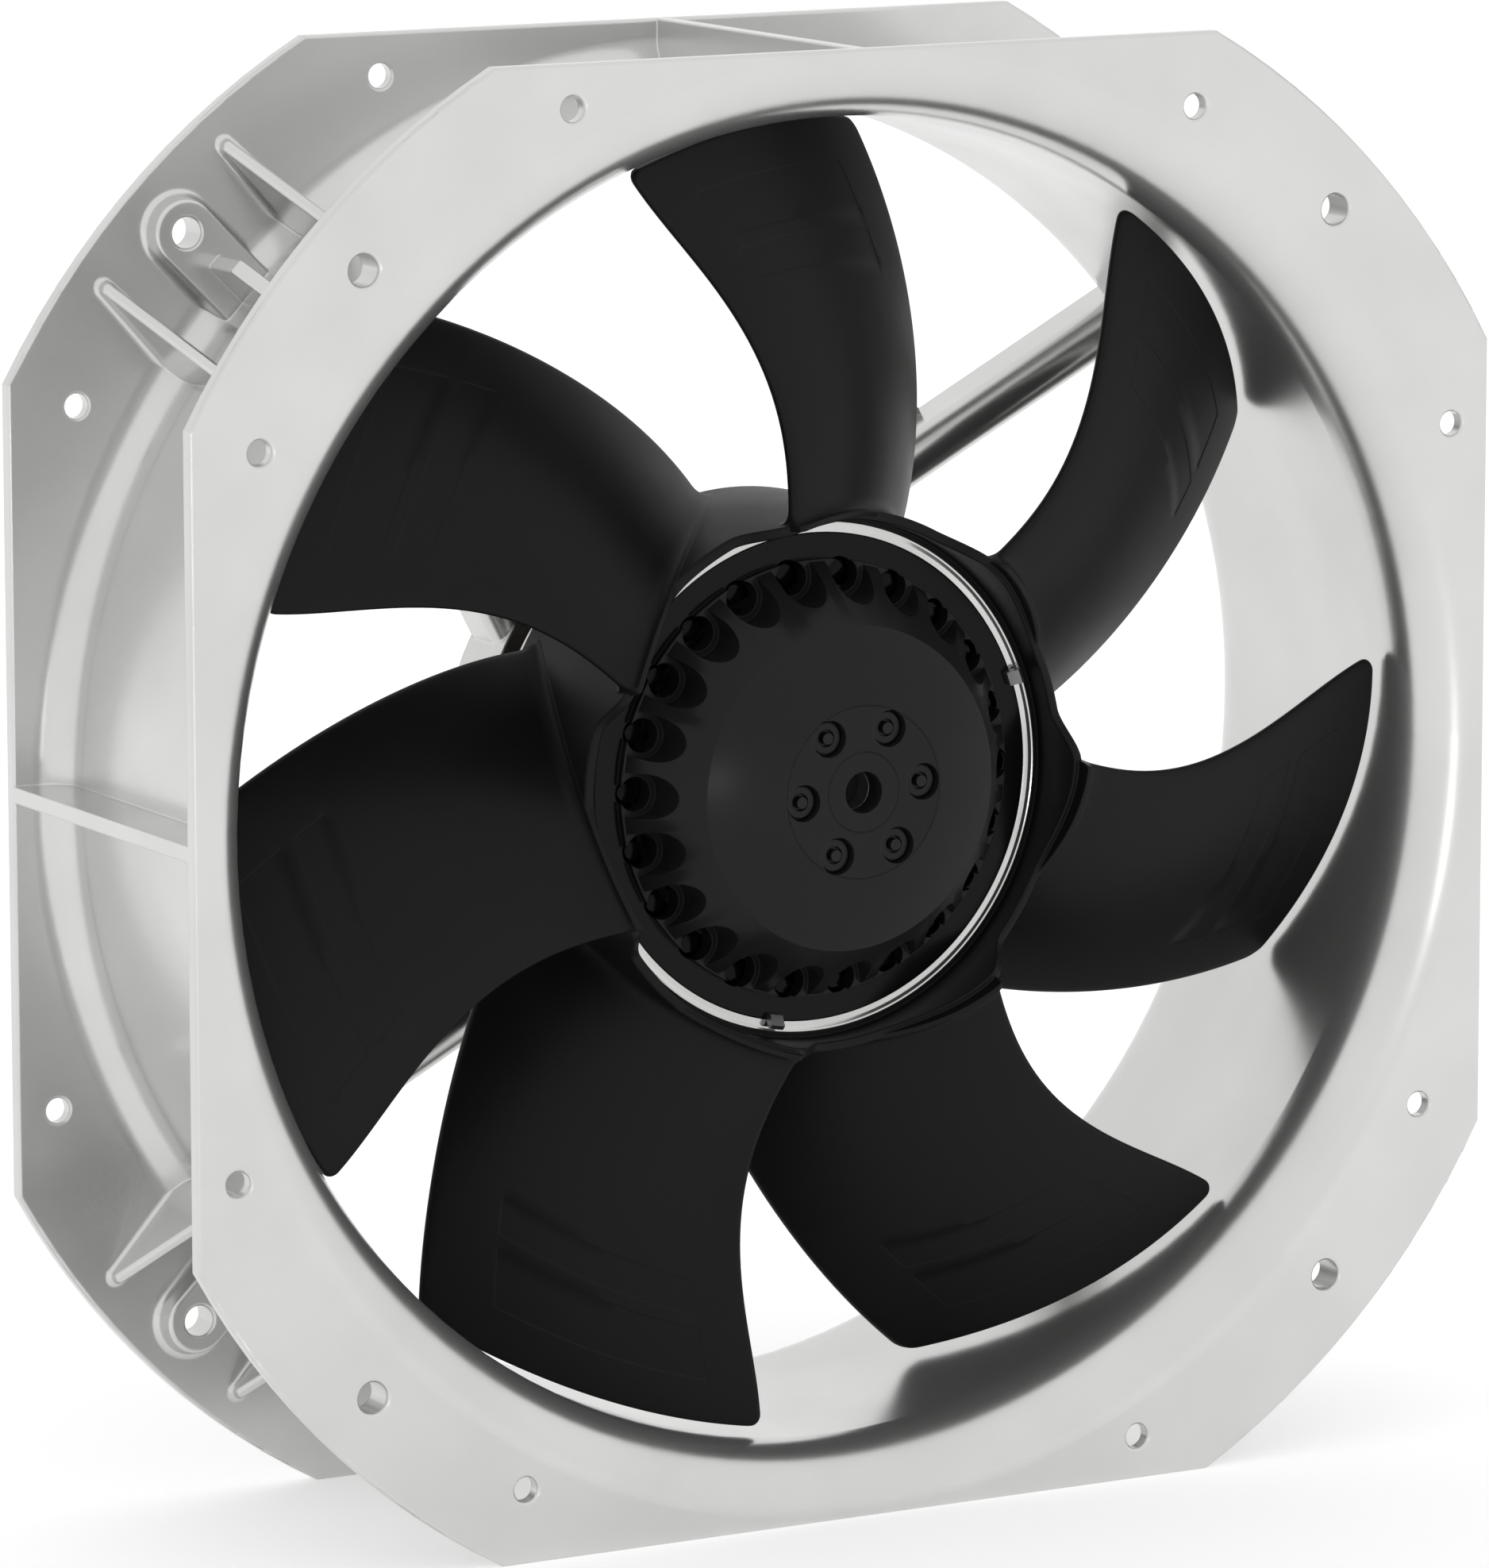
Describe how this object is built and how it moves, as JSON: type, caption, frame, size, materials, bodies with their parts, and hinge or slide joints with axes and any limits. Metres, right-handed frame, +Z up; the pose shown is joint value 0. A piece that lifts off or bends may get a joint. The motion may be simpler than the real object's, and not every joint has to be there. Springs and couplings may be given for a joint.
{
  "type": "axial wall fan",
  "caption": "Square axial wall fan: die-cast housing with mounting flanges, bell mouth and struts, external-rotor motor and swept plastic impeller.",
  "frame": {"origin": "on the fan axis, in the front face of the front flange (the inlet side)", "axes": "+Y along the fan axis from inlet to outlet, +X and +Z along the housing's sides, +Z up"},
  "size_m": [0.28, 0.08, 0.28],
  "materials": {
    "housing_paint": "satin silver-grey paint on die-cast aluminium, fine orange peel",
    "cast_aluminium": "as cast",
    "screw_steel": "zinc plated",
    "gland_rubber": "moulded",
    "lamination_steel": "stacked sheet edges",
    "winding_copper": "varnished wire",
    "insulator_plastic": "moulded",
    "bearing_steel": "ground and polished",
    "cage_plastic": "moulded",
    "spring_steel": "phosphated",
    "shaft_steel": "ground",
    "cap_paint": "semi-gloss black",
    "rivet_steel": "blackened",
    "shell_steel": "turned bright at the bevel",
    "cage_aluminium": "as cast",
    "clip_steel": "plain",
    "impeller_plastic": "fine-grained black"
  },
  "bodies": {
    "frame": {"housing": "housing_paint", "motor_flange": "cast_aluminium", "motor_screws": "screw_steel", "cable_gland": "gland_rubber", "bearing_cover": "screw_steel", "stator_core": "lamination_steel", "stator_windings": "winding_copper", "front_slot_insulator": "insulator_plastic", "rear_slot_insulator": "insulator_plastic", "front_bearing_outer_ring": "bearing_steel", "rear_bearing_outer_ring": "bearing_steel", "preload_washer": "spring_steel", "bearing_circlip": "spring_steel"},
    "rotor": {"shaft": "shaft_steel", "shaft_ring": "spring_steel", "shaft_hub": "cast_aluminium", "rotor_cap": "cap_paint", "cap_rivets": "rivet_steel", "rotor_shell": "shell_steel", "rotor_core": "lamination_steel", "rotor_cage": "cage_aluminium", "balance_clips": "clip_steel", "impeller": "impeller_plastic", "front_bearing_inner_ring": "bearing_steel", "rear_bearing_inner_ring": "bearing_steel"},
    "front_ball_set": {"front_bearing_balls": "bearing_steel", "front_bearing_cage": "cage_plastic"},
    "rear_ball_set": {"rear_bearing_balls": "bearing_steel", "rear_bearing_cage": "cage_plastic"}
  },
  "joints": [
    {"name": "rotor_spin", "type": "hinge", "parent": "frame", "child": "rotor", "pos_m": [0, 0.04, 0], "axis": [0, -1, 0], "continuous": true},
    {"name": "front_balls_spin", "type": "hinge", "parent": "frame", "child": "front_ball_set", "pos_m": [0, 0.0295, 0], "axis": [0, -1, 0], "continuous": true},
    {"name": "rear_balls_spin", "type": "hinge", "parent": "frame", "child": "rear_ball_set", "pos_m": [0, 0.063, 0], "axis": [0, -1, 0], "continuous": true}
  ],
  "couplings": [
    {"joint": "front_balls_spin", "follows": "rotor_spin", "ratio": 0.3689},
    {"joint": "rear_balls_spin", "follows": "rotor_spin", "ratio": 0.3689}
  ]
}
